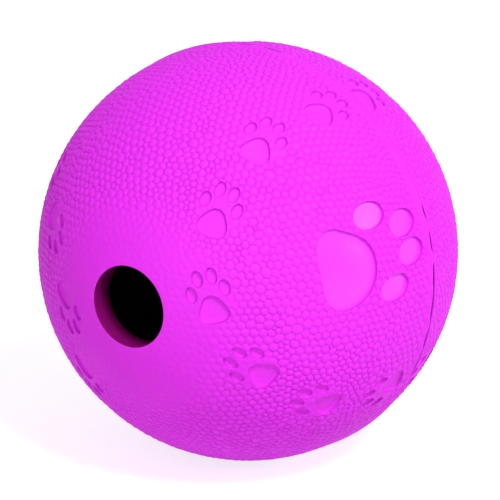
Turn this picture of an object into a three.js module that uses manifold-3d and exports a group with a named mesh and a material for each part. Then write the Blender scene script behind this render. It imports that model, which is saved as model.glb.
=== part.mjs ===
// Rubber treat ball for dogs. Two moulded halves are bonded at the equator, the front half has a round
// mouth, and a trail of paw prints is pressed into the skin. Inside, a disc held at the equator and a wall
// on each of its faces make the labyrinth that slows the treats down.
// Millimetres, +Z up. The origin is the ball's centre, the mouth faces -Y and the seam lies in y = 0.

import * as THREE from 'three';
import { mergeGeometries, mergeVertices } from 'three/addons/utils/BufferGeometryUtils.js';
import Module from 'manifold-3d';

// Ball
const BALL_RADIUS = 45;
const WALL = 5.6;
const MOUTH_RADIUS = 8.4;
const MOUTH_LIP = 0.6;

// Seam: a smooth band that stands a little proud, with a bond line sunk between the halves
const SEAM_RISE = 0.3;
const SEAM_BAND = 1.2;
const SEAM_TAPER = 1.0;
const BOND_THICKNESS = 0.4;
const BOND_SINK = 0.5;

// Labyrinth
const DISC_THICKNESS = 4;
const DISC_GRIP = 2.5;
const BAFFLE_RADIUS = 17;
const BAFFLE_WALL = 2;
const BAFFLE_SEAT = 1;
const GATE_WIDTH = 13;
const WINDOW_WEB = 3;
const WINDOW_ANGLE = 44;
const FIT_CLEARANCE = 0.3;

// Paw prints: sizes along the skin, measured from the middle of the print
const SMALL_PAW = {
  depth: 0.55,
  floorFollowsBall: false,
  padFacets: 9,
  toeArcFacets: 4,
  padHalfWidth: 3.1,
  padHalfLength: 2.95,
  padBack: 2.9,
  toeHalfWidth: 1.05,
  toeHalfLength: 1.45,
  innerToeSide: 1.3,
  innerToeAhead: 4.3,
  outerToeSide: 3.4,
  outerToeAhead: 1.3,
};
const LARGE_PAW = {
  depth: 0.7,
  floorFollowsBall: true,
  padFacets: 15,
  toeArcFacets: 5,
  padHalfWidth: 7.9,
  padHalfLength: 6.4,
  padBack: 6.3,
  toeHalfWidth: 2.8,
  toeHalfLength: 3.9,
  innerToeSide: 3.15,
  innerToeAhead: 10.2,
  outerToeSide: 7.9,
  outerToeAhead: 3.2,
};
const PAD_LOBE = 0.1;

// Trail: the prints walk round the ball in four lobes, two about the mouth and two about the far pole.
// Each step is an angle from the lobe's pole and a turn from the middle of the lobe, in degrees, from the
// seam to the tip of the lobe. The steps back to the seam mirror them.
const TRAIL_TURN = 13.8;
const FRONT_STEPS = [[79.1, 42.6], [57.3, 45.9], [36, 37.6], [23.6, 0]];
const REAR_STEPS = [[82, 48.2], [59.5, 47.5], [37.5, 38.5], [23.6, 0]];
const STEP_TWISTS = [20, -5, 14, 4, -5, 13, 13];
const LARGE_PAW_POLAR = 67.6;
const LARGE_PAW_TWIST = 4.8;
const LOBE_COUNT = 4;

// Facets
const BALL_FACETS = 32;
const LIP_FACETS = 2;
const WINDOW_ARC_FACETS = 4;
const BAFFLE_ARC_FACETS = 10;

const CAVITY_RADIUS = BALL_RADIUS - WALL;
const REBATE_RADIUS = CAVITY_RADIUS + DISC_GRIP;
const DISC_HALF = DISC_THICKNESS / 2;
const BOND_HALF = BOND_THICKNESS / 2;
const BAND_EDGE = BOND_HALF + SEAM_BAND;
const FACET_ANGLE = 2 * Math.PI / BALL_FACETS;
const FACET_FLAT = Math.cos(FACET_ANGLE / 2);

const wasm = await Module();
wasm.setup();
const radians = THREE.MathUtils.degToRad;

// Closed body of a geometry, with its shared corners merged and its collapsed triangles left out
function solid(geometry) {
  geometry.deleteAttribute('normal');
  geometry.deleteAttribute('uv');
  const merged = mergeVertices(geometry);
  const corners = merged.index.array;
  const triVerts = [];
  for (let i = 0; i < corners.length; i += 3) {
    const [a, b, c] = corners.slice(i, i + 3);
    if (a !== b && b !== c && c !== a) {
      triVerts.push(a, b, c);
    }
  }
  return new wasm.Manifold(new wasm.Mesh({
    numProp: 3,
    vertProperties: new Float32Array(merged.attributes.position.array),
    triVerts: new Uint32Array(triVerts),
  }));
}

function meshOf(name, body, material) {
  const { vertProperties, triVerts } = body.getMesh();
  const geometry = new THREE.BufferGeometry();
  geometry.setAttribute('position', new THREE.BufferAttribute(vertProperties, 3));
  geometry.setIndex(new THREE.BufferAttribute(triVerts, 1));
  geometry.computeVertexNormals();
  const mesh = new THREE.Mesh(geometry, material);
  mesh.name = name;
  return mesh;
}

// Arc about the ball's centre, by angle from the +Y pole
function arc(radius, from, to) {
  const steps = Math.ceil(Math.abs(to - from) / FACET_ANGLE);
  return Array.from({ length: steps + 1 }, (_, i) => {
    const angle = from + (to - from) * i / steps;
    return new THREE.Vector2(radius * Math.sin(angle), radius * Math.cos(angle));
  });
}

// Revolution about Y, turned so that one row of facets lies flat under the ball
function revolve(points) {
  return new THREE.LatheGeometry(points, BALL_FACETS, FACET_ANGLE / 2);
}

// Section of a half with its pole at +Y: the cavity, the rebate and bond face, the band and the skin
function halfSection(mouthRadius) {
  const open = mouthRadius > 0;
  const cavityTop = Math.asin(mouthRadius / CAVITY_RADIUS);
  const shoulder = Math.acos(DISC_HALF / CAVITY_RADIUS);
  const bandRadius = BALL_RADIUS + SEAM_RISE;
  const bandFoot = Math.acos((BAND_EDGE + SEAM_TAPER) / BALL_RADIUS);
  const skinTop = open ? Math.asin((mouthRadius + MOUTH_LIP) / BALL_RADIUS) : 0;
  const points = [
    ...arc(CAVITY_RADIUS, cavityTop, shoulder),
    new THREE.Vector2(REBATE_RADIUS, DISC_HALF),
    new THREE.Vector2(REBATE_RADIUS, BOND_HALF),
    new THREE.Vector2(bandRadius, BOND_HALF),
    new THREE.Vector2(bandRadius, BAND_EDGE),
    ...arc(BALL_RADIUS, bandFoot, skinTop),
  ];
  if (open) {
    const edge = points.at(-1);
    const corner = new THREE.Vector2(mouthRadius, Math.sqrt(BALL_RADIUS ** 2 - mouthRadius ** 2));
    const throat = new THREE.Vector2(mouthRadius, edge.y - MOUTH_LIP);
    points.push(...new THREE.QuadraticBezierCurve(edge, corner, throat).getPoints(LIP_FACETS).slice(1));
    points.push(points[0].clone());
  }
  return points;
}

// Direction from the centre, by angle from the mouth and turn about the mouth's axis from +X towards +Z
function direction(polar, turn) {
  const across = Math.sin(polar);
  return new THREE.Vector3(across * Math.cos(turn), -Math.cos(polar), across * Math.sin(turn));
}

// Print frame: X to the right of the walker, Y ahead, Z out of the ball
function printFrame(out, towards, twist) {
  const ahead = towards.clone().projectOnPlane(out).normalize().applyAxisAngle(out, radians(twist));
  const right = ahead.clone().cross(out);
  const basis = new THREE.Matrix4().makeBasis(right, ahead, out);
  return new THREE.Quaternion().setFromRotationMatrix(basis);
}

function lobeSteps(front) {
  const steps = front ? FRONT_STEPS : REAR_STEPS;
  const inbound = steps.map(([polar, turn]) => [polar, -turn]);
  const outbound = steps.slice(0, -1).reverse();
  return [...inbound, ...outbound];
}

// Frames of all small prints in walking order, each marked with the half that carries it
function smallPrints() {
  const stations = [];
  for (let lobe = 0; lobe < LOBE_COUNT; lobe += 1) {
    const front = lobe % 2 === 0;
    const middle = radians(TRAIL_TURN) + lobe * 2 * Math.PI / LOBE_COUNT;
    lobeSteps(front).forEach(([polar, turn], i) => {
      const fromMouth = front ? radians(polar) : Math.PI - radians(polar);
      stations.push({ front, twist: STEP_TWISTS[i], out: direction(fromMouth, middle + radians(turn)) });
    });
  }
  return stations.map(({ front, twist, out }, i) => {
    const next = stations[(i + 1) % stations.length].out;
    const last = stations.at(i - 1).out;
    return { front, frame: printFrame(out, next.clone().sub(last), twist) };
  });
}

// Frames of the large prints, one inside each lobe, walking away from the lobe's pole
function largePrints() {
  return Array.from({ length: LOBE_COUNT }, (_, lobe) => {
    const front = lobe % 2 === 0;
    const polar = front ? radians(LARGE_PAW_POLAR) : Math.PI - radians(LARGE_PAW_POLAR);
    const out = direction(polar, radians(TRAIL_TURN) + lobe * 2 * Math.PI / LOBE_COUNT);
    const away = new THREE.Vector3(0, front ? 1 : -1, 0);
    return { front, frame: printFrame(out, away, LARGE_PAW_TWIST) };
  });
}

// Pad with three soft lobes, one of them ahead
function padShape(paw) {
  return new THREE.Shape(Array.from({ length: paw.padFacets }, (_, i) => {
    const angle = 2 * Math.PI * i / paw.padFacets;
    const lobe = 1 + PAD_LOBE * Math.cos(3 * angle);
    const x = -paw.padHalfWidth * lobe * Math.sin(angle);
    return new THREE.Vector2(x, paw.padHalfLength * lobe * Math.cos(angle));
  }));
}

function toeShape(paw) {
  const shape = new THREE.Shape();
  return shape.absellipse(0, 0, paw.toeHalfWidth, paw.toeHalfLength, 0, 2 * Math.PI, false, 0);
}

// Pad and toes of one print as prisms through the skin, each square to the skin at its own place.
// A floor that follows the ball is cut later, so its prisms start deeper than a flat floor does.
function printPrisms(paw, frame) {
  const bottom = BALL_RADIUS - (paw.floorFollowsBall ? WALL / 2 : paw.depth);
  const pieces = [{ x: 0, y: -paw.padBack, shape: padShape(paw) }];
  for (const side of [-1, 1]) {
    pieces.push({ x: side * paw.innerToeSide, y: paw.innerToeAhead, shape: toeShape(paw) });
    pieces.push({ x: side * paw.outerToeSide, y: paw.outerToeAhead, shape: toeShape(paw) });
  }
  return pieces.map(({ x, y, shape }) => {
    const prism = new THREE.ExtrudeGeometry(shape, {
      depth: WALL,
      bevelEnabled: false,
      curveSegments: paw.toeArcFacets,
    });
    prism.translate(0, 0, bottom);
    const lean = new THREE.Quaternion().setFromAxisAngle(
      new THREE.Vector3(-y, x, 0).normalize(),
      Math.hypot(x, y) / BALL_RADIUS,
    );
    return prism.applyQuaternion(frame.clone().multiply(lean));
  });
}

// Everything that the prints of one size take out of one half
function printCut(prints, front, paw) {
  const carried = prints.filter((print) => print.front === front);
  const prisms = carried.flatMap(({ frame }) => printPrisms(paw, frame));
  const cut = solid(mergeGeometries(prisms));
  if (!paw.floorFollowsBall) {
    return cut;
  }
  const floor = solid(revolve(arc(BALL_RADIUS - paw.depth, Math.PI, 0)));
  return cut.subtract(floor);
}

function shell(front) {
  const section = halfSection(front ? MOUTH_RADIUS : 0);
  const plain = solid(revolve(section).rotateZ(front ? Math.PI : 0));
  const small = printCut(smallPrints(), front, SMALL_PAW);
  const large = printCut(largePrints(), front, LARGE_PAW);
  return plain.subtract(small).subtract(large);
}

// Bond line between the two seam faces
function seamBond() {
  const outside = BALL_RADIUS + SEAM_RISE - BOND_SINK;
  const corners = [
    [REBATE_RADIUS, -BOND_HALF],
    [outside, -BOND_HALF],
    [outside, BOND_HALF],
    [REBATE_RADIUS, BOND_HALF],
    [REBATE_RADIUS, -BOND_HALF],
  ];
  return solid(revolve(corners.map(([radius, y]) => new THREE.Vector2(radius, y))));
}

// Window between the baffle and the ball's wall, as a sector about the axis
function discWindow(turn) {
  const inside = BAFFLE_RADIUS + WINDOW_WEB;
  const outside = CAVITY_RADIUS - WINDOW_WEB;
  const half = radians(WINDOW_ANGLE) / 2;
  const shape = new THREE.Shape();
  shape.absarc(0, 0, outside, turn - half, turn + half, false);
  shape.absarc(0, 0, inside, turn + half, turn - half, true);
  const prism = new THREE.ExtrudeGeometry(shape, {
    depth: 2 * DISC_THICKNESS,
    bevelEnabled: false,
    curveSegments: WINDOW_ARC_FACETS,
  });
  return solid(prism.translate(0, 0, -DISC_THICKNESS).rotateX(Math.PI / 2));
}

// Disc across the equator, with a seat for a baffle in each face and two windows
function labyrinthDisc() {
  const rim = REBATE_RADIUS - FIT_CLEARANCE;
  const seatOutside = BAFFLE_RADIUS + FIT_CLEARANCE;
  const seatInside = BAFFLE_RADIUS - BAFFLE_WALL - FIT_CLEARANCE;
  const seatFloor = DISC_HALF - BAFFLE_SEAT;
  const face = [
    [rim, DISC_HALF],
    [seatOutside, DISC_HALF],
    [seatOutside, seatFloor],
    [seatInside, seatFloor],
    [seatInside, DISC_HALF],
    [0, DISC_HALF],
  ];
  const underside = face.map(([radius, y]) => [radius, -y]).reverse();
  const section = [...underside, ...face].map(([radius, y]) => new THREE.Vector2(radius, y));
  return solid(revolve(section)).subtract(discWindow(Math.PI / 2)).subtract(discWindow(-Math.PI / 2));
}

// C-shaped wall with round ends, open at +X, standing in its seat and reaching the ball's wall towards +Z
function baffle() {
  const middle = BAFFLE_RADIUS - BAFFLE_WALL / 2;
  const end = Math.asin((GATE_WIDTH + BAFFLE_WALL) / 2 / middle);
  const endX = middle * Math.cos(end);
  const endY = middle * Math.sin(end);
  const shape = new THREE.Shape();
  shape.absarc(0, 0, BAFFLE_RADIUS, end, 2 * Math.PI - end, false);
  shape.absarc(endX, -endY, BAFFLE_WALL / 2, -end, Math.PI - end, false);
  shape.absarc(0, 0, BAFFLE_RADIUS - BAFFLE_WALL, 2 * Math.PI - end, end, true);
  shape.absarc(endX, endY, BAFFLE_WALL / 2, Math.PI + end, 2 * Math.PI + end, false);
  const foot = DISC_HALF - BAFFLE_SEAT;
  const cavity = CAVITY_RADIUS * FACET_FLAT ** 2 - FIT_CLEARANCE;
  const top = Math.sqrt(cavity ** 2 - BAFFLE_RADIUS ** 2);
  const wall = new THREE.ExtrudeGeometry(shape, {
    depth: top - foot,
    bevelEnabled: false,
    curveSegments: BAFFLE_ARC_FACETS,
  });
  return wall.translate(0, 0, foot);
}

// Magenta skin, its darker bond line, and the black rubber of the labyrinth
const skin = () => new THREE.MeshStandardMaterial({ color: 0xf03cf5, roughness: 0.55, metalness: 0 });
const bond = () => new THREE.MeshStandardMaterial({ color: 0xc42cc8, roughness: 0.6, metalness: 0 });
const black = () => new THREE.MeshStandardMaterial({ color: 0x161316, roughness: 0.7, metalness: 0 });

const ball = new THREE.Group();
ball.add(
  meshOf('front_shell', shell(true), skin()),
  meshOf('rear_shell', shell(false), skin()),
  meshOf('seam_bond', seamBond(), bond()),
  meshOf('labyrinth_disc', labyrinthDisc(), black()),
  meshOf('front_baffle', solid(baffle().rotateX(Math.PI / 2)), black()),
  meshOf('rear_baffle', solid(baffle().rotateX(Math.PI / 2).rotateZ(Math.PI)), black()),
);

export default ball;
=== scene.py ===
# %% [markdown]
# # A treat ball in pebbled rubber
# The object is a hollow rubber ball, 90 mm across, that drops dry treats through one round mouth. Two
# moulded halves meet at a seam, and paw prints are pressed into a pebbled skin. The CAD frame holds the
# true sizes and places. This lesson dresses that frame: it models the skin that the CAD solids leave
# plain, and gives every piece its finish.

import math
import random

import bmesh
import bpy
from mathutils import Matrix, Quaternion, Vector
from mathutils.kdtree import KDTree


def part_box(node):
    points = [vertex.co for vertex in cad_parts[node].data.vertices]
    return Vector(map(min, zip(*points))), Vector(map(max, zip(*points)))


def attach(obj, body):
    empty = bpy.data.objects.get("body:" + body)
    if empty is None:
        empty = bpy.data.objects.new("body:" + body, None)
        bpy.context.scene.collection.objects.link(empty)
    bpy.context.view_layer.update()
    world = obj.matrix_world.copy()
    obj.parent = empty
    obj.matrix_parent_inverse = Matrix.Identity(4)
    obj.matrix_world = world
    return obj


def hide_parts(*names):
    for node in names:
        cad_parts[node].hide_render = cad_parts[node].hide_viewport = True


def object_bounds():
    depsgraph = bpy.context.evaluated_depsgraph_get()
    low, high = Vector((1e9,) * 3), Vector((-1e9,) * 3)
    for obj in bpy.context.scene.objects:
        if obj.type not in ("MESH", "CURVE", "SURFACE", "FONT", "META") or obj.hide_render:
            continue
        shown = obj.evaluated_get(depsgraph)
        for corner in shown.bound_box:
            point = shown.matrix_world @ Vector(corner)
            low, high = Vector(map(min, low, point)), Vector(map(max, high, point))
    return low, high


MM = 0.001
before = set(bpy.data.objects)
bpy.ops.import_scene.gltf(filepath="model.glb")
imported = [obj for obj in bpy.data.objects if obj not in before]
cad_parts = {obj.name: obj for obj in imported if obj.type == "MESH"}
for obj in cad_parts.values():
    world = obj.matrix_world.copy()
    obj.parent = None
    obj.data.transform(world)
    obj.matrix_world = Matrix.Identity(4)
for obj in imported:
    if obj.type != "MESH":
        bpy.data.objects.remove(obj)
cad_low, cad_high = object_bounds()
print("nodes:", sorted(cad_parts))
print("CAD box in mm:", [round(side / MM, 2) for side in cad_high - cad_low])

# %% [markdown]
# ## Camera
# The photograph is taken from a little above, with the mouth to the left. A long lens far away would
# flatten the ball and a short one close up would swell it, so the camera stands where the mouth and the
# seam, which lie a quarter turn apart on the ball, both fall in their places. The outline's place and
# size in the picture then give the lens and the shift.

# %% Camera
BALL_RADIUS = cad_high.y
# The crowns of the pebbles lie a little inside the CAD ball
SKIN_RADIUS = BALL_RADIUS - 0.15 * MM
CAMERA_DISTANCE = 10.4 * BALL_RADIUS
CAMERA_AZIMUTH = math.radians(32.73)
CAMERA_ELEVATION = math.radians(17.52)
PICTURE_WIDTH_PX = 500
OUTLINE_RADIUS_PX = 210.4
OUTLINE_CENTRE_PX = (248.15, 250.65)
SENSOR_WIDTH_MM = 36


def add_camera():
    middle = PICTURE_WIDTH_PX / 2
    edge_distance = math.sqrt(CAMERA_DISTANCE ** 2 - SKIN_RADIUS ** 2)
    focal_px = OUTLINE_RADIUS_PX * edge_distance / SKIN_RADIUS
    lens = bpy.data.cameras.new("camera")
    lens.sensor_width = SENSOR_WIDTH_MM
    lens.lens = focal_px / PICTURE_WIDTH_PX * SENSOR_WIDTH_MM
    lens.shift_x = (middle - OUTLINE_CENTRE_PX[0]) / PICTURE_WIDTH_PX
    lens.shift_y = (OUTLINE_CENTRE_PX[1] - middle) / PICTURE_WIDTH_PX
    lens.clip_start = 1 * MM
    camera = bpy.data.objects.new("camera", lens)
    level = math.cos(CAMERA_ELEVATION)
    away = Vector((
        math.sin(CAMERA_AZIMUTH) * level,
        -math.cos(CAMERA_AZIMUTH) * level,
        math.sin(CAMERA_ELEVATION),
    ))
    camera.location = away * CAMERA_DISTANCE
    camera.rotation_euler = away.to_track_quat("Z", "Y").to_euler()
    bpy.context.scene.collection.objects.link(camera)
    bpy.context.scene.camera = camera
    return camera


camera = add_camera()
print("lens in mm:", round(camera.data.lens, 1))

# %% [markdown]
# ## Paw trail
# Small paw prints walk round the ball in four lobes, two about the mouth and two about the far pole, and
# one large print stands inside each lobe. Each place is an angle from the lobe's pole and a turn from the
# lobe's middle, as in the CAD source. Working the places out first lets the pebbles fade beside the
# prints later. A print looks towards the next step, so its heading is the line from the step before it to
# the step after it, with a small twist of its own.

# %% Places on the ball
TRAIL_TURN = 13.8
LOBE_COUNT = 4


def direction(polar, turn):
    """Unit vector by degrees from the mouth and degrees about the mouth's axis, from +X towards +Z."""
    across = math.sin(math.radians(polar))
    return Vector((
        across * math.cos(math.radians(turn)),
        -math.cos(math.radians(polar)),
        across * math.sin(math.radians(turn)),
    ))


def lobe_place(lobe, polar, turn):
    """Direction of a place by degrees from the lobe's pole and from the lobe's middle."""
    from_mouth = polar if lobe % 2 == 0 else 180 - polar
    return direction(from_mouth, TRAIL_TURN + lobe * 360 / LOBE_COUNT + turn)


lobe_middles = [[round(part, 2) for part in lobe_place(lobe, 90, 0)] for lobe in range(LOBE_COUNT)]
print("middles of the lobes at the seam:", lobe_middles)

# %% Prints of the trail
# From the seam to the tip of a lobe; the steps back to the seam mirror these
FRONT_STEPS = [(79.1, 42.6), (57.3, 45.9), (36, 37.6), (23.6, 0)]
REAR_STEPS = [(82, 48.2), (59.5, 47.5), (37.5, 38.5), (23.6, 0)]
STEP_TWISTS = [20, -5, 14, 4, -5, 13, 13]
LARGE_PAW_POLAR = 67.6
LARGE_PAW_TWIST = 4.8


def print_frame(out, towards, twist):
    """Turn of a print: X to the walker's right, Y ahead, Z out of the ball."""
    ahead = (towards - out * towards.dot(out)).normalized()
    ahead.rotate(Quaternion(out, math.radians(twist)))
    right = ahead.cross(out)
    return Matrix((right, ahead, out)).transposed().to_quaternion()


def small_prints():
    stations = []
    for lobe in range(LOBE_COUNT):
        steps = FRONT_STEPS if lobe % 2 == 0 else REAR_STEPS
        walk = [(polar, -turn) for polar, turn in steps] + steps[-2::-1]
        for (polar, turn), twist in zip(walk, STEP_TWISTS):
            stations.append((lobe_place(lobe, polar, turn), twist))
    prints = []
    for i, (out, twist) in enumerate(stations):
        towards = stations[(i + 1) % len(stations)][0] - stations[i - 1][0]
        prints.append(print_frame(out, towards, twist))
    return prints


def large_prints():
    prints = []
    for lobe in range(LOBE_COUNT):
        away = Vector((0, 1 if lobe % 2 == 0 else -1, 0))
        prints.append(print_frame(lobe_place(lobe, LARGE_PAW_POLAR, 0), away, LARGE_PAW_TWIST))
    return prints


def outwards(turned_print):
    return turned_print @ Vector((0, 0, 1))


small_paws = small_prints()
large_paws = large_prints()
print("small prints:", len(small_paws), "large prints:", len(large_paws))

# %% [markdown]
# ## Pebbled skin: the cells
# The skin is covered with low rubber pebbles that touch one another, so that narrow passes lie between
# two of them and deeper pits where three meet. A bump map would only shade them, and ten thousand
# separate domes would be wasteful. Instead one mesh becomes the pattern. An icosphere gives evenly spread
# points, but its rows are too regular for a moulded grain, so each point is nudged at random, a convex
# hull joins the new neighbours, and a little smoothing evens the gaps. Poking the faces and turning the
# old edges then draws the cell walls between the points, and dissolving the points leaves one cell round
# each. Each long wall finally gets a middle point for its pass, and its ends stay down as pits.

# %% Scattered points
PEBBLE_HEIGHT = 0.36 * MM
PIT_RADIUS = SKIN_RADIUS - PEBBLE_HEIGHT
POINT_LEVELS = 6
NUDGE = 0.6 * MM
EVEN_ROUNDS = 4
dice = random.Random(7)


def nudge(point, reach):
    point.co += Vector([dice.uniform(-reach, reach) for _ in range(3)])


def level_points(points, radius):
    for point in points:
        point.co = point.co.normalized() * radius


def join_neighbours(cells):
    """Joins scattered points on a sphere into triangles."""
    bmesh.ops.delete(cells, geom=cells.edges[:], context="EDGES_FACES")
    bmesh.ops.convex_hull(cells, input=cells.verts[:])
    loose = [point for point in cells.verts if not point.link_edges]
    bmesh.ops.delete(cells, geom=loose, context="VERTS")


def scattered_points():
    cells = bmesh.new()
    bmesh.ops.create_icosphere(cells, subdivisions=POINT_LEVELS, radius=PIT_RADIUS)
    for point in cells.verts:
        nudge(point, NUDGE)
    level_points(cells.verts, PIT_RADIUS)
    join_neighbours(cells)
    for _ in range(EVEN_ROUNDS):
        bmesh.ops.smooth_vert(
            cells, verts=cells.verts[:], factor=0.5, use_axis_x=True, use_axis_y=True, use_axis_z=True)
        level_points(cells.verts, PIT_RADIUS)
    join_neighbours(cells)
    return cells


skin = scattered_points()
print("scattered points:", len(skin.verts))

# %% Cell walls
PASS_RADIUS = PIT_RADIUS + 0.3 * PEBBLE_HEIGHT
# Cell corners nearer than this become one
SHORT_WALL = 0.3 * MM
# Walls longer than this have a pass at their middle
PASS_WALL = 0.95 * MM


def draw_cells(cells):
    """Turns the triangles between scattered points into one cell round each point."""
    points = cells.verts[:]
    old_edges = cells.edges[:]
    bmesh.ops.poke(cells, faces=cells.faces[:])
    bmesh.ops.rotate_edges(cells, edges=old_edges)
    bmesh.ops.dissolve_verts(cells, verts=points)
    bmesh.ops.remove_doubles(cells, verts=cells.verts[:], dist=SHORT_WALL)
    level_points(cells.verts, PIT_RADIUS)


def raise_passes(cells):
    long_walls = [wall for wall in cells.edges if wall.calc_length() > PASS_WALL]
    walls = bmesh.ops.bisect_edges(cells, edges=long_walls, cuts=1)["geom_split"]
    level_points([part for part in walls if isinstance(part, bmesh.types.BMVert)], PASS_RADIUS)


draw_cells(skin)
raise_passes(skin)
passes = [point for point in skin.verts if len(point.link_edges) == 2]
print("cells:", len(skin.faces), "walls with a pass:", len(passes))

# %% [markdown]
# ## Pebbled skin: the plain places
# Round the mouth, at the far pole and beside the small prints the mould is plainer, and along the seam the
# skin is plain and swells up to the edge of the joint. Masks could be painted by hand, but a few distances
# say the same and stay with the prints: each gives a share that later draws the pebbles back towards one
# smooth level.

# %% Plain places
# Side of the seam that the mouth is on, along Y
MOUTH_SIDE = -1
PLAIN_RADIUS = SKIN_RADIUS - 0.06 * MM
# Border of the plain place about each pole in degrees, and how far it drops below the pole
COLLAR_POLAR = 26
COLLAR_DROP = 6
COLLAR_DROP_TURN = -85
COLLAR_FADE = (-9, 10)
COLLAR_PLAINNESS = 0.78
# Distances from the seam, on each side, over which the pebbles rise and the swell ends
SEAM_FADE = {MOUTH_SIDE: (1.0 * MM, 1.9 * MM), -MOUTH_SIDE: (0.4 * MM, 1.1 * MM)}
SWELL_FADE = {MOUTH_SIDE: (0.6 * MM, 2.6 * MM), -MOUTH_SIDE: (0.3 * MM, 1.7 * MM)}
# The swell stops a little below the crest of the seam's band
BAND_RADIUS = cad_high.x
SWELL = BAND_RADIUS - PLAIN_RADIUS - 0.03 * MM
# Distances from the middle of a small print over which the pebbles reach their full height
PRINT_FADE = (3.6 * MM, 5.6 * MM)
PRINT_PLAINNESS = 0.6


def ramp(value, start, end):
    share = min(max((value - start) / (end - start), 0), 1)
    return share * share * (3 - 2 * share)


def side_of(out):
    return MOUTH_SIDE if out.y < 0 else -MOUTH_SIDE


def print_finder():
    tree = KDTree(len(small_paws))
    for i, turned_print in enumerate(small_paws):
        tree.insert(outwards(turned_print), i)
    tree.balance()
    return tree


finder = print_finder()


def pebble_share(out):
    """How high the pebbles stand in a direction, from 0 where the skin is plain to 1."""
    polar = math.degrees(out.angle(Vector((0, -1, 0))))
    turn = math.degrees(math.atan2(out.z, out.x))
    below = max(math.cos(math.radians(turn - COLLAR_DROP_TURN)), 0) ** 2
    from_pole = polar if out.y < 0 else 180 - polar
    open_skin = ramp(from_pole - COLLAR_POLAR - COLLAR_DROP * below, *COLLAR_FADE)
    collar = 1 - COLLAR_PLAINNESS * (1 - open_skin)
    seam = ramp(abs(out.y) * SKIN_RADIUS, *SEAM_FADE[side_of(out)])
    gap = finder.find(out)[2] * SKIN_RADIUS
    beside = 1 - PRINT_PLAINNESS * (1 - ramp(gap, *PRINT_FADE))
    return collar * seam * beside


def seam_swell(out):
    return SWELL * (1 - ramp(abs(out.y) * SKIN_RADIUS, *SWELL_FADE[side_of(out)]))


for polar in (12, 50, 89):
    out = direction(polar, TRAIL_TURN)
    print("degrees from the mouth:", polar, "pebble share:", round(pebble_share(out), 2),
          "swell in mm:", round(seam_swell(out) / MM, 2))

# %% [markdown]
# ## Pebbled skin: the domes
# An inset raises the shoulder of each pebble and a poke raises its crown, a little higher or lower from
# one to the next, so that a pebble is a low dome of a few faces. A Subdivision Surface modifier would
# round it more, but ten thousand pebbles leave only a few triangles for each.

# %% Domes
BANK_WIDTH = 0.30 * MM
SHOULDER_RADIUS = PIT_RADIUS + 0.64 * PEBBLE_HEIGHT
# A crown lies up to this far below the skin's level, or half as far above it
CROWN_SPREAD = 0.07 * MM
# It is also up to this far off the middle of its pebble along each axis
CROWN_SHIFT = 0.1 * MM
# Cells with no more than this share of the height stay flat
FLAT_SHARE = 0.01


def raise_domes(cells):
    middles = {cell: cell.calc_center_median().normalized() for cell in cells.faces}
    caps = [cell for cell, middle in middles.items() if pebble_share(middle) > FLAT_SHARE]
    bmesh.ops.inset_individual(cells, faces=caps, thickness=BANK_WIDTH, use_even_offset=True)
    for cap in caps:
        level_points(cap.verts, SHOULDER_RADIUS)
    for crown in bmesh.ops.poke(cells, faces=caps)["verts"]:
        nudge(crown, CROWN_SHIFT)
        crown.co = crown.co.normalized() * (SKIN_RADIUS + dice.uniform(-CROWN_SPREAD, CROWN_SPREAD / 2))


def settle_skin(cells):
    """Draws every height back to the plain level by its share, and adds the swell at the seam."""
    for corner in cells.verts:
        out = corner.co.normalized()
        height = pebble_share(out) * (corner.co.length - PLAIN_RADIUS)
        corner.co = out * (PLAIN_RADIUS + height + seam_swell(out))


raise_domes(skin)
settle_skin(skin)
heights = [corner.co.length for corner in skin.verts]
print("skin radius in mm:", round(min(heights) / MM, 2), "to", round(max(heights) / MM, 2))

# %% [markdown]
# ## Seam lips
# Each half has a narrow rounded lip where it meets the other. The crease between the lips gapes in some
# places and is closed in others, so the lips dip as far as it is open. Lips cut from the pebbled skin
# would be ragged, so each is a ring of its own. Turning a profile with spin is the natural way to make
# anything round about one axis.

# %% Open crease
BOND_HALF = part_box("seam_bond")[1].y
# Turn in degrees at which the crease between the lips is widest open
CREASE_TURN = -8
# Height of the waves up to which the crease is closed
CREASE_CLOSED = 0.15
LIP_SINK = 0.35 * MM


def crease_share(place):
    """How open the crease is beside a point, from 0 to 1, as a few waves of different length."""
    angle = math.atan2(place.z, place.x) - math.radians(CREASE_TURN)
    waves = 0.75 * math.cos(3 * angle) + 0.2 * math.sin(17 * angle) + 0.4 * math.sin(41 * angle)
    return min(max(waves - CREASE_CLOSED, 0), 1)


def sink_edge(body, depth, reach):
    """Moves the outer edge of a turned ring inwards as far as the crease is open, fading over the reach."""
    for corner in body.verts:
        across = Vector((corner.co.x, 0, corner.co.z))
        near = 1 - min(max((abs(corner.co.y) - BOND_HALF) / reach, 0), 1)
        if across.length > BAND_RADIUS - LIP_SINK:
            corner.co -= across.normalized() * depth * near * crease_share(corner.co)


open_turns = [turn for turn in range(360) if crease_share(direction(90, turn)) > 0]
print("share of the seam that gapes:", round(len(open_turns) / 360, 2))

# %% Lips
SPIN_STEPS = 160
ROUND_STEPS = 5
# Points of a turned body nearer than this, in metres, are one
SAME_POINT = 1e-7
LIP_WIDTH = 0.45 * MM
LIP_FOOT = 0.9 * MM
LIP_ROUND = 0.05 * MM
LIP_DIP = 0.3 * MM
RING_DEPTH = 4 * MM


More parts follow.
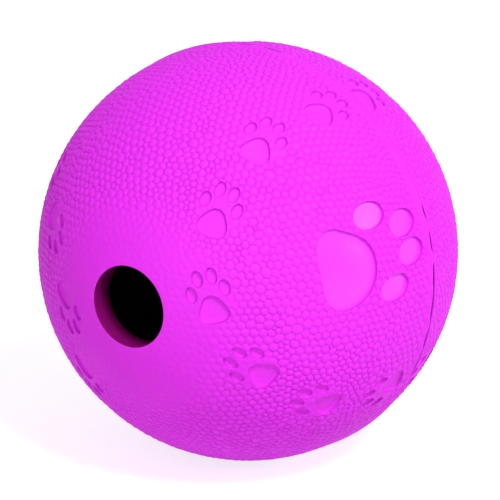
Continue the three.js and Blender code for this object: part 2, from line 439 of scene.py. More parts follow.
def turned(profile):
    """Closed body turned about Y from (radius, height) points, a loop or a line that ends on the axis."""
    body = bmesh.new()
    corners = [body.verts.new((radius, height, 0)) for radius, height in profile]
    for first, second in zip(corners, corners[1:]):
        body.edges.new((first, second))
    if profile[0][0] > 0:
        body.edges.new((corners[-1], corners[0]))
    bmesh.ops.spin(
        body, geom=body.verts[:] + body.edges[:], axis=(0, 1, 0), cent=(0, 0, 0),
        angle=2 * math.pi, steps=SPIN_STEPS, use_merge=True)
    bmesh.ops.remove_doubles(body, verts=body.verts[:], dist=SAME_POINT)
    bmesh.ops.recalc_face_normals(body, faces=body.faces[:])
    return body


def round_corner(before, corner, after, radius):
    """Points of a fillet that replaces the corner of a profile."""
    before, corner, after = Vector(before), Vector(corner), Vector(after)
    start = corner + (before - corner).normalized() * radius
    end = corner + (after - corner).normalized() * radius
    points = []
    for i in range(ROUND_STEPS + 1):
        share = i / ROUND_STEPS
        points.append(start.lerp(corner, share).lerp(corner.lerp(end, share), share))
    return [tuple(point) for point in points]


def lip_ring(side):
    inside = BAND_RADIUS - RING_DEPTH
    face_end = (inside, BOND_HALF)
    corner = (BAND_RADIUS, BOND_HALF)
    crest = (BAND_RADIUS, BOND_HALF + LIP_WIDTH)
    foot = (BAND_RADIUS - LIP_SINK, BOND_HALF + LIP_FOOT)
    outline = [face_end]
    outline += round_corner(face_end, corner, crest, LIP_ROUND)
    outline += [crest, foot, (inside, BOND_HALF + LIP_FOOT)]
    ring = turned([(radius, side * height) for radius, height in outline])
    sink_edge(ring, LIP_DIP, LIP_WIDTH)
    return ring


lips = {side: lip_ring(side) for side in (MOUTH_SIDE, -MOUTH_SIDE)}
print("faces of the lips:", [len(ring.faces) for ring in lips.values()])

# %% [markdown]
# ## Hollow and mouth
# The wall has one thickness all round, with a rebate that grips the inner disc, and the front half has a
# mouth with a softly rounded edge. A Solidify modifier could give the wall, but it would repeat every
# pebble on the inside. Instead all the air in a half is one turned tool, to be taken away from it.

# %% Hollow
WALL = 5.6 * MM
DISC_GRIP = 2.5 * MM
CAVITY_RADIUS = BALL_RADIUS - WALL
REBATE_RADIUS = CAVITY_RADIUS + DISC_GRIP
DISC_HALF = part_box("labyrinth_disc")[1].y
MOUTH_RADIUS = 8.4 * MM
MOUTH_ROUND = 0.3 * MM
THROAT_ROUND = 0.5 * MM
CAVITY_STEPS = 20
CUBIC_CM = 1e-6


def arc(radius, start, end, steps):
    """Points of an arc about the ball's centre, by angle from the pole."""
    angles = [start + (end - start) * i / steps for i in range(steps + 1)]
    return [(radius * math.sin(angle), radius * math.cos(angle)) for angle in angles]


def mouth_outline(shoulder):
    """Profile from outside the mouth, over its edge and down the throat, to the shoulder of the hollow."""
    lip = (MOUTH_RADIUS, math.sqrt(PLAIN_RADIUS ** 2 - MOUTH_RADIUS ** 2))
    edge_radius = MOUTH_RADIUS + MOUTH_ROUND
    slope = (edge_radius, math.sqrt(PLAIN_RADIUS ** 2 - edge_radius ** 2))
    throat = (MOUTH_RADIUS, math.sqrt(CAVITY_RADIUS ** 2 - MOUTH_RADIUS ** 2))
    inner_start = math.asin((MOUTH_RADIUS + THROAT_ROUND) / CAVITY_RADIUS)
    cavity = arc(CAVITY_RADIUS, inner_start, shoulder, CAVITY_STEPS)
    outside = BALL_RADIUS + WALL
    outline = [(0, outside), (edge_radius + MOUTH_ROUND, outside)]
    outline += round_corner(slope, lip, throat, MOUTH_ROUND)
    outline += round_corner(lip, throat, cavity[1], THROAT_ROUND)[:-1]
    return outline + cavity


def hollow(side):
    """Everything that is air inside one half, with the mouth on the front."""
    shoulder = math.acos(DISC_HALF / CAVITY_RADIUS)
    if side == MOUTH_SIDE:
        outline = mouth_outline(shoulder)
    else:
        outline = arc(CAVITY_RADIUS, 0, shoulder, CAVITY_STEPS)
    outline += [(REBATE_RADIUS, DISC_HALF), (REBATE_RADIUS, -DISC_HALF), (0, -DISC_HALF)]
    return turned([(radius, side * height) for radius, height in outline])


hollows = {side: hollow(side) for side in (MOUTH_SIDE, -MOUTH_SIDE)}
print("hollow in cm3:", [round(air.calc_volume() / CUBIC_CM, 1) for air in hollows.values()])

# %% [markdown]
# ## Two halves
# A half is the pebbled skin on one side of the seam, with its lip, round its hollow. A plane cuts the skin
# beside the seam and the cut is filled, so that booleans have closed bodies to work on: one joins the lip
# and one takes the hollow away. The Manifold solver is quick, and what it leaves is closed too.

# %% Halves


def piece_from(name, body):
    mesh = bpy.data.meshes.new(name)
    body.to_mesh(mesh)
    body.free()
    piece = bpy.data.objects.new(name, mesh)
    bpy.context.scene.collection.objects.link(piece)
    return piece


def combine(piece, tool, operation):
    """Joins or cuts a piece with a closed tool, keeps the result as its mesh and removes the tool."""
    step = piece.modifiers.new("combine", "BOOLEAN")
    step.operation = operation
    step.solver = "MANIFOLD"
    step.object = tool
    evaluated = piece.evaluated_get(bpy.context.evaluated_depsgraph_get())
    mesh = bpy.data.meshes.new_from_object(evaluated)
    piece.modifiers.remove(step)
    old_mesh = piece.data
    piece.data = mesh
    bpy.data.meshes.remove(old_mesh)
    bpy.data.objects.remove(tool)
    mesh.name = piece.name


def skin_half(side):
    """The pebbled skin on one side of the seam as a closed body, cut under the lip."""
    half = skin.copy()
    cut = bmesh.ops.bisect_plane(
        half, geom=half.verts[:] + half.edges[:] + half.faces[:],
        plane_co=(0, side * (BOND_HALF + LIP_WIDTH), 0), plane_no=(0, -side, 0), clear_outer=True)
    rim = [part for part in cut["geom_cut"] if isinstance(part, bmesh.types.BMEdge)]
    bmesh.ops.edgeloop_fill(half, edges=rim)
    bmesh.ops.recalc_face_normals(half, faces=half.faces[:])
    return half


def plain_half(name, side):
    half = piece_from(name, skin_half(side))
    combine(half, piece_from("lip", lips[side]), "UNION")
    combine(half, piece_from("hollow", hollows[side]), "DIFFERENCE")
    return half


front_half = plain_half("front_half", MOUTH_SIDE)
rear_half = plain_half("rear_half", -MOUTH_SIDE)
skin.free()
for half in (front_half, rear_half):
    print(half.name, "faces before the prints:", len(half.data.polygons))

# %% [markdown]
# ## Paw prints
# Each print is a pad and four toes pressed a little way into the skin, with rounded edges and a smooth
# floor that follows the ball. The large ones have steep walls, and the small ones are softer, almost
# round bowls. A displaced texture would leave ragged edges, so each hollow is a closed bowl taken away
# with a boolean. A bowl starts as a filled circle bent to the outline, and is extruded, inset and scaled
# ring by ring; each ring then gets its own distance from the ball's centre.

# %% Sizes of the prints


def millimetres(*pairs):
    return [(aside * MM, ahead * MM) for aside, ahead in pairs]


# Places are to the right and ahead of the middle of the print. A lobe is a count round the pad, a swell
# as a share of its size, and the angle of its crest. Rings on the floor are shares of its width.
SMALL_PAW = {
    "depth": 0.85 * MM, "foot_round": 0.55 * MM,
    "pad_half": (3.1 * MM, 2.95 * MM), "pad_place": (0, -2.9 * MM), "pad_steps": 28,
    "pad_lobes": [(3, 0.1, 0)],
    "toe_half": (1.2 * MM, 1.7 * MM), "toe_steps": 20,
    "toes": millimetres((-3.45, 1.2), (-1.48, 4.05), (1.48, 4.05), (3.45, 1.2)),
    "floor_rings": [0.5],
}
LARGE_PAW = {
    "depth": 0.95 * MM, "foot_round": 0.2 * MM,
    "pad_half": (8.24 * MM, 6.48 * MM), "pad_place": (0.2 * MM, -6.16 * MM), "pad_steps": 48,
    "pad_lobes": [(3, 0.083, math.radians(-6)), (4, 0.029, math.radians(31))],
    "toe_half": (2.8 * MM, 3.9 * MM), "toe_steps": 32,
    "toes": millimetres((-8.13, 2.44), (-3.93, 10.32), (2.43, 10.73), (7.96, 4.22)),
    "floor_rings": [0.75, 0.5, 0.25],
}
for paw in (SMALL_PAW, LARGE_PAW):
    print("floor of a print, in mm from the centre:", round((SKIN_RADIUS - paw["depth"]) / MM, 2))

# %% Bowls
# A bowl reaches this far out of the skin, so that the boolean cuts cleanly
BOWL_LIFT = 1.5 * MM
# The rounded edge of a bowl starts a little above the skin
EDGE_ROUND = 0.18 * MM
RIM_RADIUS = SKIN_RADIUS + 0.3 * EDGE_ROUND
WALL_LEAN = 0.08 * MM
# Rings of the rounded edge and foot, as shares of their radius: how wide, and how far down or up
EDGE_RINGS = [(0.7, 0.3), (0.3, 1.0)]
FOOT_RINGS = [(0.13, 0.5), (0.37, 0.13), (0.5, 0.0)]
# A new ring on the floor starts this share of the foot's radius inside the last, and is then scaled
RING_START = 0.01


def outline_point(half, lobes, angle):
    """Point of a pad or a toe by its angle from ahead. Soft lobes swell a pad, and a toe is an oval."""
    reach = 1 + sum(swell * math.cos(count * (angle - turn)) for count, swell, turn in lobes)
    return Vector((-half[0] * reach * math.sin(angle), half[1] * reach * math.cos(angle), 0))


def bowl_rings(paw):
    """Width and distance from the ball's centre of each ring, from the edge down to the floor."""
    floor_radius = SKIN_RADIUS - paw["depth"]
    foot = paw["foot_round"]
    rings = [(width * EDGE_ROUND, SKIN_RADIUS - drop * EDGE_ROUND) for width, drop in EDGE_RINGS]
    rings.append((WALL_LEAN, floor_radius + foot))
    rings += [(width * foot, floor_radius + rise * foot) for width, rise in FOOT_RINGS]
    return rings


def add_bowl(bowls, half, lobes, steps, paw, place):
    """Adds one closed bowl to the tool of a half."""
    first = len(bowls.verts)
    floor_radius = SKIN_RADIUS - paw["depth"]
    circle = bmesh.ops.create_circle(bowls, cap_ends=True, segments=steps, radius=1)["verts"]
    for corner in circle:
        edge = outline_point(half, lobes, math.atan2(-corner.co.x, corner.co.y))
        corner.co = edge + edge.normalized() * EDGE_ROUND
    levels = {corner: SKIN_RADIUS + BOWL_LIFT for corner in circle}
    extruded = bmesh.ops.extrude_face_region(bowls, geom=[circle[0].link_faces[0]])["geom"]
    floor = next(part for part in extruded if isinstance(part, bmesh.types.BMFace))
    levels.update({corner: RIM_RADIUS for corner in floor.verts})
    for width, level in bowl_rings(paw):
        bmesh.ops.inset_individual(bowls, faces=[floor], thickness=width, use_even_offset=True)
        levels.update({corner: level for corner in floor.verts})
    reached = 1
    for share in paw["floor_rings"]:
        bmesh.ops.inset_individual(bowls, faces=[floor], thickness=RING_START * paw["foot_round"])
        bmesh.ops.scale(bowls, vec=(share / reached, share / reached, 1), verts=floor.verts[:])
        levels.update({corner: floor_radius for corner in floor.verts})
        reached = share
    middle = bmesh.ops.poke(bowls, faces=[floor])["verts"][0]
    levels[middle] = floor_radius
    for corner, level in levels.items():
        corner.co.z = math.sqrt(level ** 2 - corner.co.x ** 2 - corner.co.y ** 2)
    bowls.verts.ensure_lookup_table()
    bmesh.ops.rotate(bowls, verts=bowls.verts[first:], cent=(0, 0, 0), matrix=place.to_matrix())


print("rings of a bowl above its floor:", len(bowl_rings(SMALL_PAW)))

# %% Pressed prints


def add_print(bowls, paw, turned_print):
    shapes = [(*paw["pad_place"], paw["pad_half"], paw["pad_lobes"], paw["pad_steps"])]
    shapes += [(aside, ahead, paw["toe_half"], [], paw["toe_steps"]) for aside, ahead in paw["toes"]]
    for aside, ahead, half, lobes, steps in shapes:
        lean = Quaternion((-ahead, aside, 0), math.hypot(aside, ahead) / BALL_RADIUS)
        add_bowl(bowls, half, lobes, steps, paw, turned_print @ lean)


def press_prints(half, side):
    bowls = bmesh.new()
    for paw, prints in ((SMALL_PAW, small_paws), (LARGE_PAW, large_paws)):
        for turned_print in prints:
            if outwards(turned_print).y * side > 0:
                add_print(bowls, paw, turned_print)
    bmesh.ops.recalc_face_normals(bowls, faces=bowls.faces[:])
    combine(half, piece_from("bowls", bowls), "DIFFERENCE")


press_prints(front_half, MOUTH_SIDE)
press_prints(rear_half, -MOUTH_SIDE)
for half in (front_half, rear_half):
    half.data.calc_loop_triangles()
    print(half.name, "triangles:", len(half.data.loop_triangles))

# %% [markdown]
# ## Soft shading with crisp grooves
# Smooth shading rounds the domes, but it would also wash out the grooves and the walls of the prints.
# Marking every edge that is sharper than a set angle keeps those crisp.

# %% Shading
CREASE_ANGLE = math.radians(32)


def shade(piece):
    piece.data.shade_smooth()
    piece.data.set_sharp_from_angle(angle=CREASE_ANGLE)


for half in (front_half, rear_half):
    shade(half)
print("crease angle in degrees:", round(math.degrees(CREASE_ANGLE)))

# %% [markdown]
# ## Bond line
# Between the halves lies a thin line of bonding rubber. Where it is sunk it reads as a dark crease, and
# where it has flowed up to the surface the crease almost vanishes. It is a turned ring whose outer edge
# sinks with the lips beside it.

# %% Bond line
# How far the line lies below the lips' crest where the crease is closed, and where it is widest open
BOND_SINK = (0.02 * MM, 0.9 * MM)


def bond_ring():
    edge = BAND_RADIUS - BOND_SINK[0]
    ring = turned([
        (REBATE_RADIUS, -BOND_HALF), (edge, -BOND_HALF), (edge, BOND_HALF), (REBATE_RADIUS, BOND_HALF)])
    sink_edge(ring, BOND_SINK[1] - BOND_SINK[0], LIP_WIDTH)
    return piece_from("bond_line", ring)


bond_line = bond_ring()
shade(bond_line)
print("bond line faces:", len(bond_line.data.polygons))

# %% [markdown]
# ## Rubber grain, shared by every rubber
# All the rubbers here have the same two traits: a slow mottle, where the colour drifts a little, and a
# fine grain from the mould. One node group holds both, so that each material only picks its own
# strengths.

# %% Rubber grain


def new_group(name, inputs, outputs):
    group = bpy.data.node_groups.new(name, "ShaderNodeTree")
    for socket, default in inputs:
        made = group.interface.new_socket(socket, in_out="INPUT", socket_type="NodeSocketFloat")
        made.default_value = default
    for socket in outputs:
        group.interface.new_socket(socket, in_out="OUTPUT", socket_type="NodeSocketFloat")
    return group, group.nodes.new("NodeGroupInput"), group.nodes.new("NodeGroupOutput")


def rubber_grain_group():
    group, given, result = new_group(
        "rubber_grain", [("Mottle Scale", 60.0), ("Grain Scale", 2200.0)], ["Mottle", "Grain"])
    place = group.nodes.new("ShaderNodeTexCoord")
    for scale, output in (("Mottle Scale", "Mottle"), ("Grain Scale", "Grain")):
        pattern = group.nodes.new("ShaderNodeTexNoise")
        pattern.inputs["Detail"].default_value = 3.0
        group.links.new(place.outputs["Object"], pattern.inputs["Vector"])
        group.links.new(given.outputs[scale], pattern.inputs["Scale"])
        group.links.new(pattern.outputs["Fac"], result.inputs[output])
    return group


grain_group = rubber_grain_group()
print("node group:", grain_group.name)

# %% [markdown]
# ## Masks that follow the shape
# The colour of the ball changes with its shape: in the grooves, on the floors and walls of the prints,
# down the throat and in the open crease. All but the floors are painted shade. Such masks could be painted
# on by hand, but here every place is known by a distance or a slope, so four small groups work them out
# from Object coordinates.

# %% Depth and slope
VECTOR = "ShaderNodeVectorMath"
NUMBER = "ShaderNodeMath"


def arithmetic(tree, kind, operation, *values):
    """One step of arithmetic on fixed values and other nodes' outputs."""
    step = tree.nodes.new(kind)
    step.operation = operation
    for socket, value in zip(step.inputs, values):
        if isinstance(value, bpy.types.NodeSocket):
            tree.links.new(value, socket)
        else:
            socket.default_value = value
    return step.outputs


def soft_mask(tree, value, start, end):
    """0 where the value is at its start and 1 at its end, with a soft slope between them."""
    scale = tree.nodes.new("ShaderNodeMapRange")
    scale.interpolation_type = "SMOOTHSTEP"
    for socket, output in (("Value", value), ("From Min", start), ("From Max", end)):
        tree.links.new(output, scale.inputs[socket])
    return scale.outputs["Result"]


def skin_depth_group():
    """Masks by distance below a radius about the ball's centre."""
    group, given, result = new_group(
        "skin_depth", [("Top Radius", 0.045), ("Bottom Radius", 0.044)], ["Mask"])
    place = group.nodes.new("ShaderNodeTexCoord").outputs["Object"]
    reach = arithmetic(group, VECTOR, "LENGTH", place)["Value"]
    mask = soft_mask(group, reach, given.outputs["Top Radius"], given.outputs["Bottom Radius"])
    group.links.new(mask, result.inputs["Mask"])
    return group


def steep_side_group():
    """Masks surfaces that lean away from facing straight out of the ball, where shade is painted on steep
    sides.
    """
    group, given, result = new_group("steep_side", [("Gentle", 0.9), ("Steep", 0.5)], ["Mask"])
    place = group.nodes.new("ShaderNodeTexCoord").outputs
    out = arithmetic(group, VECTOR, "NORMALIZE", place["Object"])["Vector"]
    facing = arithmetic(group, VECTOR, "DOT_PRODUCT", out, place["Normal"])["Value"]
    mask = soft_mask(group, facing, given.outputs["Gentle"], given.outputs["Steep"])
    group.links.new(mask, result.inputs["Mask"])
    return group


depth_group = skin_depth_group()
steep_group = steep_side_group()
print("node groups:", depth_group.name, steep_group.name)

# %% Crease and mouth
# Depths below the lips' crest at which the painted shade in the crease begins and is darkest
CREASE_SHADE_DEPTH = (0.06 * MM, 0.28 * MM)


def along_axis(tree, place):
    """Place along the mouth's axis, which is less than 0 on the front half."""
    parts = tree.nodes.new("ShaderNodeSeparateXYZ")
    tree.links.new(place, parts.inputs[0])
    return parts.outputs["Y"]


def open_crease_group():
    """Masks what lies below the lips' crest close to the seam, for painted shade in the open crease."""
    group, given, result = new_group(
        "open_crease", [("Half Width", 0.6 * MM), ("Crest Radius", 0.045)], ["Mask"])
    place = group.nodes.new("ShaderNodeTexCoord").outputs["Object"]
    aside = arithmetic(group, NUMBER, "ABSOLUTE", along_axis(group, place))["Value"]
    beside = arithmetic(group, NUMBER, "LESS_THAN", aside, given.outputs["Half Width"])["Value"]
    reach = arithmetic(group, VECTOR, "LENGTH", place)["Value"]
    depth = arithmetic(group, NUMBER, "SUBTRACT", given.outputs["Crest Radius"], reach)["Value"]
    shade_depth = group.nodes.new("ShaderNodeMapRange")
    shade_depth.inputs["From Min"].default_value = CREASE_SHADE_DEPTH[0]
    shade_depth.inputs["From Max"].default_value = CREASE_SHADE_DEPTH[1]
    group.links.new(depth, shade_depth.inputs["Value"])
    mask = arithmetic(group, NUMBER, "MULTIPLY", beside, shade_depth.outputs["Result"])["Value"]
    group.links.new(mask, result.inputs["Mask"])
    return group


def mouth_bore_group():
    """Masks what lies close to the mouth's axis on the front half."""
    group, given, result = new_group(
        "mouth_bore", [("Outer Radius", 8.6 * MM), ("Inner Radius", 8.4 * MM)], ["Mask"])
    place = group.nodes.new("ShaderNodeTexCoord").outputs["Object"]
    across = arithmetic(group, VECTOR, "MULTIPLY", place, (1, 0, 1))["Vector"]
    reach = arithmetic(group, VECTOR, "LENGTH", across)["Value"]
    near = soft_mask(group, reach, given.outputs["Outer Radius"], given.outputs["Inner Radius"])
    front = arithmetic(group, NUMBER, "LESS_THAN", along_axis(group, place), 0.0)["Value"]
    mask = arithmetic(group, NUMBER, "MULTIPLY", near, front)["Value"]
    group.links.new(mask, result.inputs["Mask"])
    return group


crease_group = open_crease_group()
bore_group = mouth_bore_group()
print("node groups:", crease_group.name, bore_group.name)

# %% [markdown]
# ## Magenta rubber
# The skin is a bright, satin magenta. Its colour also holds painted shade: darker in the grooves, on the
# steep sides and in the open crease, wine red down the throat and almost black inside the ball. The floors
# of the prints keep close to the plain skin colour. The large floors are polished, and a clear coat gives
# them their pale sheen. An image could hold these colours, but the masks fit the modelled shape and need no
# unwrapping.

# %% Colour of pebbles and floors
SKIN_COLOUR = (0.86, 0.031, 0.92, 1)
DRIFT_COLOUR = (0.82, 0.027, 0.90, 1)
# Painted shade in the grooves between the pebbles, darker with depth below the skin
GROOVE_SHADE_COLOUR = (0.50, 0.010, 0.58, 1)
GROOVE_SHADE_SHARE = 0.44
FLOOR_COLOUR = (0.86, 0.034, 0.91, 1)
# Depths below the skin at which a colour begins and is complete
GROOVE_SHADE_DEPTH = (SKIN_RADIUS - SHOULDER_RADIUS, PEBBLE_HEIGHT)
FLOOR_DEPTH = (0.50 * MM, 0.75 * MM)
# Sockets of a Mix node that hold colours
COLOUR_INPUTS = (6, 7)
COLOUR_OUTPUT = 2


def add_group(tree, group, **values):
    placed = tree.nodes.new("ShaderNodeGroup")
    placed.node_tree = group
    for socket, value in values.items():
        placed.inputs[socket.replace("_", " ")].default_value = value
    return placed.outputs


def depth_mask(tree, radius, depths):
    """0 above the first depth below a radius and 1 beyond the second."""
    top, bottom = radius - depths[0], radius - depths[1]
    return add_group(tree, depth_group, Top_Radius=top, Bottom_Radius=bottom)["Mask"]


def mix_colours(tree, share, first, second):
    """Mix of two colours, where each is a value or another node's output."""
    mix = tree.nodes.new("ShaderNodeMix")
    mix.data_type = "RGBA"
    tree.links.new(share, mix.inputs["Factor"])
    for socket, colour in zip(COLOUR_INPUTS, (first, second)):
        if isinstance(colour, tuple):
            mix.inputs[socket].default_value = colour
        else:
            tree.links.new(colour, mix.inputs[socket])
    return mix.outputs[COLOUR_OUTPUT]


def map_value(tree, value, low, high):
    """Spreads a 0 to 1 value between two limits."""
    mapped = tree.nodes.new("ShaderNodeMapRange")
    mapped.inputs["To Min"].default_value = low
    mapped.inputs["To Max"].default_value = high
    tree.links.new(value, mapped.inputs["Value"])
    return mapped.outputs["Result"]


def pebble_colour(tree, mottle):
    colour = mix_colours(tree, mottle, SKIN_COLOUR, DRIFT_COLOUR)
    # Painted shade darkens the grooves, and the floors of the prints go back close to the plain skin colour
    groove_shade = map_value(tree, depth_mask(tree, SKIN_RADIUS, GROOVE_SHADE_DEPTH), 0.0, GROOVE_SHADE_SHARE)
    colour = mix_colours(tree, groove_shade, colour, GROOVE_SHADE_COLOUR)
    return mix_colours(tree, depth_mask(tree, SKIN_RADIUS, FLOOR_DEPTH), colour, FLOOR_COLOUR)


print("grooves darken between depths in mm:", [round(depth / MM, 2) for depth in GROOVE_SHADE_DEPTH])

# %% Colour of walls, throat and crease
# Painted shade on steep sides: the walls of the prints and the banks of the pebbles
STEEP_SHADE_COLOUR = (0.34, 0.004, 0.32, 1)
STEEP_SHADE_SHARE = 0.16
# How squarely a side faces out of the ball where its colour begins to change, and where it is complete
STEEP_FACING = (0.78, 0.5)
# Painted shade down the throat, in wine red
THROAT_SHADE_COLOUR = (0.24, 0.003, 0.15, 1)
# Depths below the skin, down the throat and then in the hollow, and the painted shade there
DEEP_SHADE_COLOURS = [
    ((1.4 * MM, 5.3 * MM), (0.105, 0.0015, 0.05, 1)),
    ((5.5 * MM, 5.8 * MM), (0.012, 0.001, 0.006, 1)),
]
# Painted shade lies on the bond line and a little way up the lips
CREASE_SHADE_COLOUR = (0.24, 0.006, 0.26, 1)
CREASE_SHADE_HALF_WIDTH = BOND_HALF + 0.6 * LIP_WIDTH


def skin_colour(tree, mottle, bore):
    colour = pebble_colour(tree, mottle)
    # Painted shade on the steep sides
    steep = add_group(tree, steep_group, Gentle=STEEP_FACING[0], Steep=STEEP_FACING[1])["Mask"]
    colour = mix_colours(tree, map_value(tree, steep, 0.0, STEEP_SHADE_SHARE), colour, STEEP_SHADE_COLOUR)
    # Painted shade down the throat, then darker and almost black deeper in the hollow
    colour = mix_colours(tree, bore, colour, THROAT_SHADE_COLOUR)
    for depths, deeper in DEEP_SHADE_COLOURS:
        colour = mix_colours(tree, depth_mask(tree, SKIN_RADIUS, depths), colour, deeper)
    # Painted shade in the open crease beside the seam
    crease_shade = add_group(tree, crease_group, Half_Width=CREASE_SHADE_HALF_WIDTH, Crest_Radius=BAND_RADIUS)["Mask"]
    return mix_colours(tree, crease_shade, colour, CREASE_SHADE_COLOUR)


# How far the painted shade in the crease reaches from the seam
print("dirt reaches this far from the seam, in mm:", round(CREASE_SHADE_HALF_WIDTH / MM, 2))

# %% Magenta rubber
SKIN_GRAIN = {"Mottle_Scale": 70.0, "Grain_Scale": 1400.0}
SKIN_BUMP = 0.2 * MM
BUMP_STRENGTH = 0.35
SKIN_ROUGHNESS = (0.50, 0.60)
SKIN_SPECULAR = 0.18
# Radii about the mouth's axis between which the throat begins
THROAT_EDGE = (MOUTH_RADIUS + 0.15 * MM, MOUTH_RADIUS + 0.02 * MM)
# Of the prints, only the large ones are deep enough for this. The throat gets no coat
POLISH_DEPTH = (0.88 * MM, 0.94 * MM)
POLISHED_ROUGHNESS = 0.3
POLISH_COAT = 0.6


def new_material(name):
    material = bpy.data.materials.new(name)
    material.use_nodes = True
    tree = material.node_tree
    return material, tree, tree.nodes["Principled BSDF"]


def mix_values(tree, share, first, second):
    """Mix of another node's value and a fixed one."""
    mix = tree.nodes.new("ShaderNodeMix")
    tree.links.new(share, mix.inputs["Factor"])
    tree.links.new(first, mix.inputs["A"])
    mix.inputs["B"].default_value = second
    return mix.outputs["Result"]


def add_grain_bump(tree, surface, height, distance):
    bump = tree.nodes.new("ShaderNodeBump")
    bump.inputs["Strength"].default_value = BUMP_STRENGTH
    bump.inputs["Distance"].default_value = distance
    tree.links.new(height, bump.inputs["Height"])
    tree.links.new(bump.outputs["Normal"], surface.inputs["Normal"])


def magenta_rubber():
    material, tree, surface = new_material("magenta_rubber")
    grain = add_group(tree, grain_group, **SKIN_GRAIN)
    bore = add_group(tree, bore_group, Outer_Radius=THROAT_EDGE[0], Inner_Radius=THROAT_EDGE[1])["Mask"]
    tree.links.new(skin_colour(tree, grain["Mottle"], bore), surface.inputs["Base Color"])
    polish = depth_mask(tree, SKIN_RADIUS, POLISH_DEPTH)
    satin = map_value(tree, grain["Mottle"], *SKIN_ROUGHNESS)
    tree.links.new(mix_values(tree, polish, satin, POLISHED_ROUGHNESS), surface.inputs["Roughness"])
    coat = mix_values(tree, bore, map_value(tree, polish, 0.0, POLISH_COAT), 0.0)
    tree.links.new(coat, surface.inputs["Coat Weight"])
    surface.inputs["Coat Roughness"].default_value = POLISHED_ROUGHNESS
    surface.inputs["Specular IOR Level"].default_value = SKIN_SPECULAR
    add_grain_bump(tree, surface, grain["Grain"], SKIN_BUMP)
    return material


magenta = magenta_rubber()
print("material:", magenta.name, "nodes:", len(magenta.node_tree.nodes))

# %% [markdown]
# ## Bond line and black rubber
# The bond line is the same rubber with less gloss, so it hardly shows where it lies level with the skin,
# and painted shade darkens it where the crease is open. The labyrinth inside is rubber near black, darker
# than black rubber is, partly as painted shade for the dark inside of the ball, and only its nearest wall
# can be seen through the mouth. Both are matt, so one function makes them with their own colours.

# %% Matt rubbers
MATT_GRAIN = {"Mottle_Scale": 110.0, "Grain_Scale": 1800.0}
MATT_BUMP = 0.03 * MM
MATT_SPECULAR = 0.1
BOND_COLOURS = [(0.84, 0.030, 0.90, 1), (0.80, 0.026, 0.88, 1)]
BOND_ROUGHNESS = (0.65, 0.8)
# Darker than black rubber is, partly as painted shade for the dark inside of the ball
BLACK_COLOURS = [(0.002, 0.0018, 0.002, 1), (0.005, 0.0045, 0.005, 1)]
BLACK_ROUGHNESS = (0.8, 0.95)


def matt_rubber(name, colours, roughness, crease_shade=None):
    """Rubber with little gloss, and for a line in a crease a painted shade colour that darkens it with its
    depth.
    """
    material, tree, surface = new_material(name)
    grain = add_group(tree, grain_group, **MATT_GRAIN)
    colour = mix_colours(tree, grain["Mottle"], *colours)
    # Painted shade in the crease, darker with depth below the lips' crest
    if crease_shade:
        colour = mix_colours(tree, depth_mask(tree, BAND_RADIUS, CREASE_SHADE_DEPTH), colour, crease_shade)
    tree.links.new(colour, surface.inputs["Base Color"])
    tree.links.new(map_value(tree, grain["Mottle"], *roughness), surface.inputs["Roughness"])
    surface.inputs["Specular IOR Level"].default_value = MATT_SPECULAR
    add_grain_bump(tree, surface, grain["Grain"], MATT_BUMP)
    return material


bond = matt_rubber("bond_line", BOND_COLOURS, BOND_ROUGHNESS, crease_shade=CREASE_SHADE_COLOUR)
black = matt_rubber("black_rubber", BLACK_COLOURS, BLACK_ROUGHNESS)
print("materials:", bond.name, black.name)

# %% [markdown]
# ## Placing the pieces
# Every new piece rides on the one rigid body, stands for its CAD node and names its material slot. The
# labyrinth keeps its CAD shape and only gets the black rubber.

# %% Pieces on the frame
PLACED = [
    (front_half, "front_shell", "magenta_rubber", magenta),
    (rear_half, "rear_shell", "magenta_rubber", magenta),
    (bond_line, "seam_bond", "bond_line", bond),
]
for piece, node, slot, material in PLACED:
    piece.data.materials.clear()
    piece.data.materials.append(material)
    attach(piece, "root")
    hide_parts(node)
for node in ("labyrinth_disc", "front_baffle", "rear_baffle"):
    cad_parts[node].data.materials.clear()
    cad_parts[node].data.materials.append(black)
print("pieces placed:", [piece.name for piece, *_ in PLACED])

# %% [markdown]
# ## Floor and light
# The photograph has a white ground and soft light from the upper right, which darkens the upper walls of
# the prints and leaves the left and the underside deeper in tone. A wide key lamp stands there, a weaker
# one lifts the right edge, and a fill keeps the left from going dull. The floor is white for the camera
# and for reflections, and pale grey for the light that bounces back up, so the underside keeps its tone
# while the floor keeps its shadow.

# %% Floor
FLOOR_HALF = 3.0
FLOOR_HEIGHT = cad_low.z
BOUNCE_COLOUR = (0.7, 0.7, 0.7, 1)
SEEN_COLOUR = (0.9, 0.9, 0.9, 1)
FLOOR_GLOW = 0.72


def seen_share(tree):
    """1 for rays from the camera, a reflection or a clear body, and 0 for light that bounces."""
    path = tree.nodes.new("ShaderNodeLightPath").outputs
    seen = path["Is Camera Ray"]
    for ray in ("Is Glossy Ray", "Is Transmission Ray"):
        seen = arithmetic(tree, NUMBER, "MAXIMUM", seen, path[ray])["Value"]
    return seen


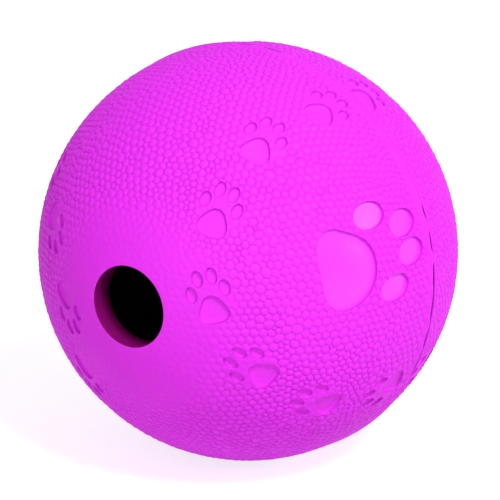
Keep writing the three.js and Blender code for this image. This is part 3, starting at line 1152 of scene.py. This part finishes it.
def floor_material():
    material, tree, surface = new_material("floor")
    seen = seen_share(tree)
    tree.links.new(mix_colours(tree, seen, BOUNCE_COLOUR, SEEN_COLOUR), surface.inputs["Base Color"])
    surface.inputs["Roughness"].default_value = 1.0
    surface.inputs["Specular IOR Level"].default_value = 0.0
    surface.inputs["Emission Color"].default_value = (1, 1, 1, 1)
    tree.links.new(map_value(tree, seen, 0.0, FLOOR_GLOW), surface.inputs["Emission Strength"])
    return material


def add_floor():
    body = bmesh.new()
    bmesh.ops.create_grid(body, x_segments=1, y_segments=1, size=FLOOR_HALF)
    bmesh.ops.translate(body, verts=body.verts[:], vec=(0, 0, FLOOR_HEIGHT))
    floor = piece_from("floor", body)
    floor.data.materials.append(floor_material())


add_floor()
print("floor height in mm:", round(FLOOR_HEIGHT / MM, 2))

# %% Lamps and world
AMBIENT = 0.26
# Direction in the camera's own right, up and back, distance, size and strength
LAMPS = {
    "key": ((0.33, 0.52, 0.79), 0.8, 0.2, 0.76),
    "fill": ((-0.60, -0.10, 0.79), 0.9, 0.25, 0.2),
    "side": ((0.90, 0.20, 0.39), 0.7, 0.25, 0.16),
}


def add_lamp(name, towards, distance, size, strength):
    """Square lamp whose strength is the share of full light that a facing surface gets from it."""
    light = bpy.data.lights.new(name, "AREA")
    light.size = size
    light.energy = strength * (math.pi * distance) ** 2
    lamp = bpy.data.objects.new(name, light)
    away = (camera.rotation_euler.to_matrix() @ Vector(towards)).normalized()
    lamp.location = away * distance
    lamp.rotation_euler = away.to_track_quat("Z", "Y").to_euler()
    bpy.context.scene.collection.objects.link(lamp)
    return lamp


def light_world():
    world = bpy.data.worlds.new("studio")
    world.use_nodes = True
    tree = world.node_tree
    strength = map_value(tree, seen_share(tree), AMBIENT, 1.0)
    tree.links.new(strength, tree.nodes["Background"].inputs["Strength"])
    tree.nodes["Background"].inputs["Color"].default_value = (1, 1, 1, 1)
    bpy.context.scene.world = world


for name, settings in LAMPS.items():
    lamp = add_lamp(name, *settings)
    print(name, "lamp in W:", round(lamp.data.energy, 2))
light_world()
bpy.context.scene.view_settings.view_transform = "Standard"
